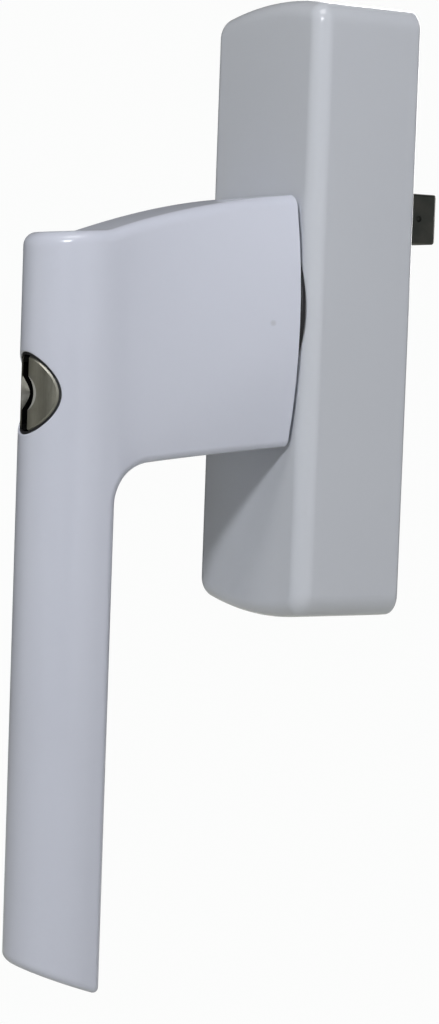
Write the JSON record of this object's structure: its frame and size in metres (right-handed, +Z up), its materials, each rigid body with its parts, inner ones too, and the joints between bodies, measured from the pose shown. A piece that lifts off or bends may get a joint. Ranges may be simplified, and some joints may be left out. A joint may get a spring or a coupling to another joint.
{
  "type": "gear window handle",
  "caption": "Key-lockable window handle: a lever on a deep box base turns a pinion that slides a driver dog behind it.",
  "frame": {"origin": "on the lever's turning axis, in the mounting plane at the back of the base", "axes": "+Z up along the base and out of its upper end, +Y out of the back into the window, -Y towards the room, +X across the base; the lever hangs along -Z"},
  "size_m": [0.033, 0.0701, 0.1525],
  "materials": {
    "white_powder_coat": "satin powder coat",
    "zinc_casting": "as cast",
    "zinc_plated_steel": "bright zinc plate",
    "screw_steel": "zinc plate",
    "black_plastic": "moulded",
    "spring_steel": "drawn wire",
    "lock_nickel": "satin nickel",
    "blackened_steel": "blackened",
    "brass": "stamped"
  },
  "bodies": {
    "housing": {"base_cover": "white_powder_coat", "gear_case": "zinc_casting", "back_plate": "zinc_plated_steel", "back_plate_screws": "screw_steel", "bearing_bush": "black_plastic", "neck_collar": "black_plastic", "rack_guide": "black_plastic", "detent_spring": "spring_steel"},
    "lever": {"lever": "white_powder_coat", "lever_spindle": "zinc_plated_steel", "spindle_pin": "spring_steel", "pinion": "zinc_casting", "index_cam": "zinc_casting", "pinion_washer": "screw_steel", "pinion_screw": "screw_steel", "lock_ring": "black_plastic", "lock_barrel": "lock_nickel", "barrel_set_screw": "screw_steel"},
    "driver": {"drive_slide": "zinc_casting", "drive_dog": "blackened_steel", "dog_screw": "screw_steel"},
    "key_plug": {"lock_plug": "lock_nickel", "lock_wafers": "brass", "cam_drum": "brass", "drum_screw": "screw_steel"},
    "lock_bolt": {"locking_bolt": "zinc_plated_steel", "follower_pin": "spring_steel"}
  },
  "joints": [
    {"name": "lever_turn", "type": "hinge", "parent": "housing", "child": "lever", "pos_m": [0, 0, 0], "axis": [0, 1, 0], "range_deg": [0, 180], "deforming": ["detent_spring"]},
    {"name": "driver_slide", "type": "slide", "parent": "housing", "child": "driver", "axis": [0, 0, 1], "range_m": [-0.03142, 0]},
    {"name": "key_turn", "type": "hinge", "parent": "lever", "child": "key_plug", "pos_m": [0, -0.05, -0.01375], "axis": [0, 1, 0], "range_deg": [0, 180]},
    {"name": "bolt_slide", "type": "slide", "parent": "lever", "child": "lock_bolt", "axis": [0, 1, 0], "range_m": [0, 0.004]}
  ],
  "couplings": [
    {"joint": "driver_slide", "follows": "lever_turn", "m_per_rad": -0.01},
    {"joint": "bolt_slide", "follows": "key_turn", "m_per_rad": 0.0012732}
  ]
}
